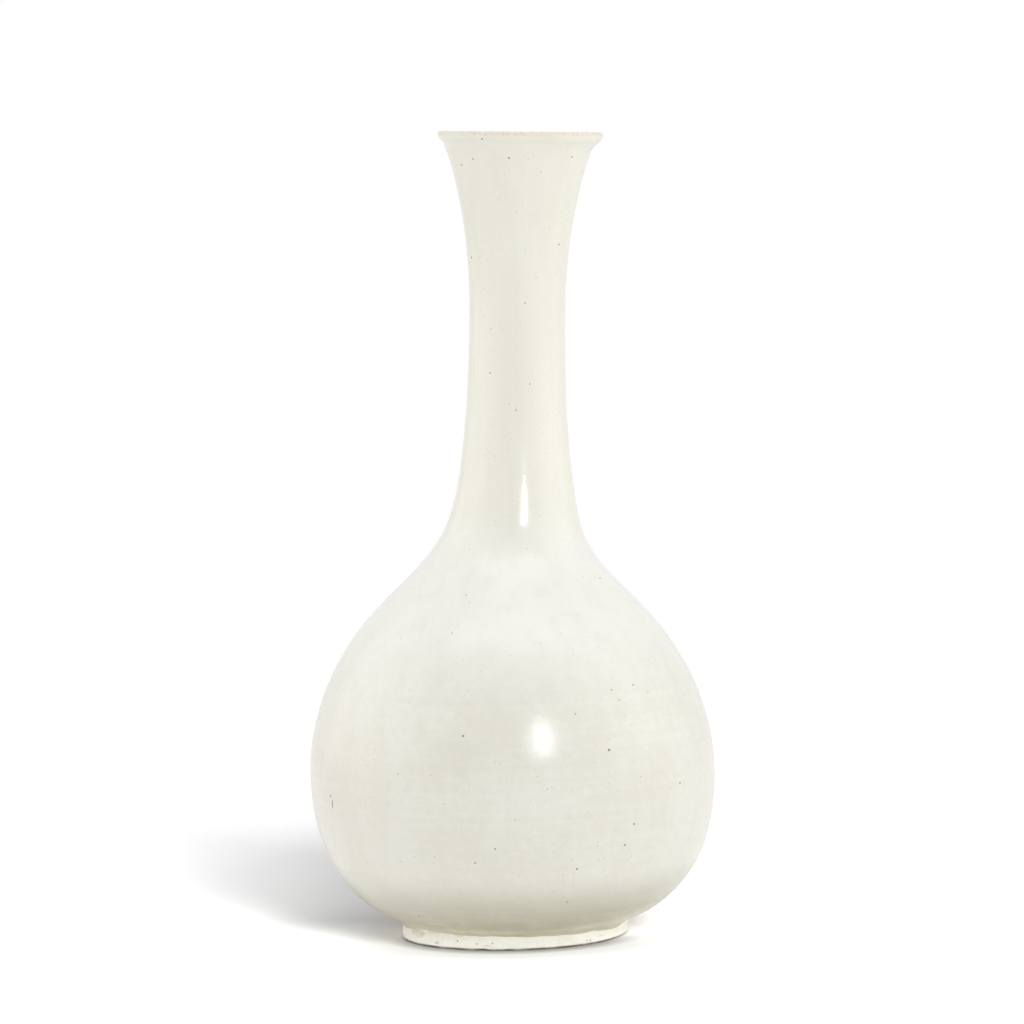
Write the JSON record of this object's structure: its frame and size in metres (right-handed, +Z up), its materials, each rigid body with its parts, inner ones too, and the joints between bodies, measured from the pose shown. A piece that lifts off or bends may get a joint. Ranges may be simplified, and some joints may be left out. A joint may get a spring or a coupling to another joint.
{
  "type": "bottle vase",
  "caption": "Hand-thrown bottle vase in ivory-glazed stoneware: a round body on a bare turned foot ring, and a long slim neck that leans slightly and flares to a rolled lip.",
  "frame": {"origin": "centre of the foot ring, on the plane that the vase stands on", "axes": "+Z up through the round body; the neck leans towards +X; -Y faces the viewer of the reference view"},
  "size_m": [0.1318, 0.1318, 0.2615],
  "materials": {
    "stoneware": "bare fired stoneware, pale cream with brown scorch marks, matt",
    "joint_slip": "fired clay slip in the luted joints, matt",
    "outer_glaze": "warm ivory-white glaze, soft gloss, with fine iron specks and pinholes",
    "lining_glaze": "ivory lining glaze, soft gloss"
  },
  "bodies": {
    "root": {"lower_bowl": "stoneware", "waist_slip_joint": "joint_slip", "upper_bowl": "stoneware", "neck_slip_joint": "joint_slip", "neck": "stoneware", "lining_glaze": "lining_glaze", "outer_glaze": "outer_glaze"}
  },
  "joints": []
}
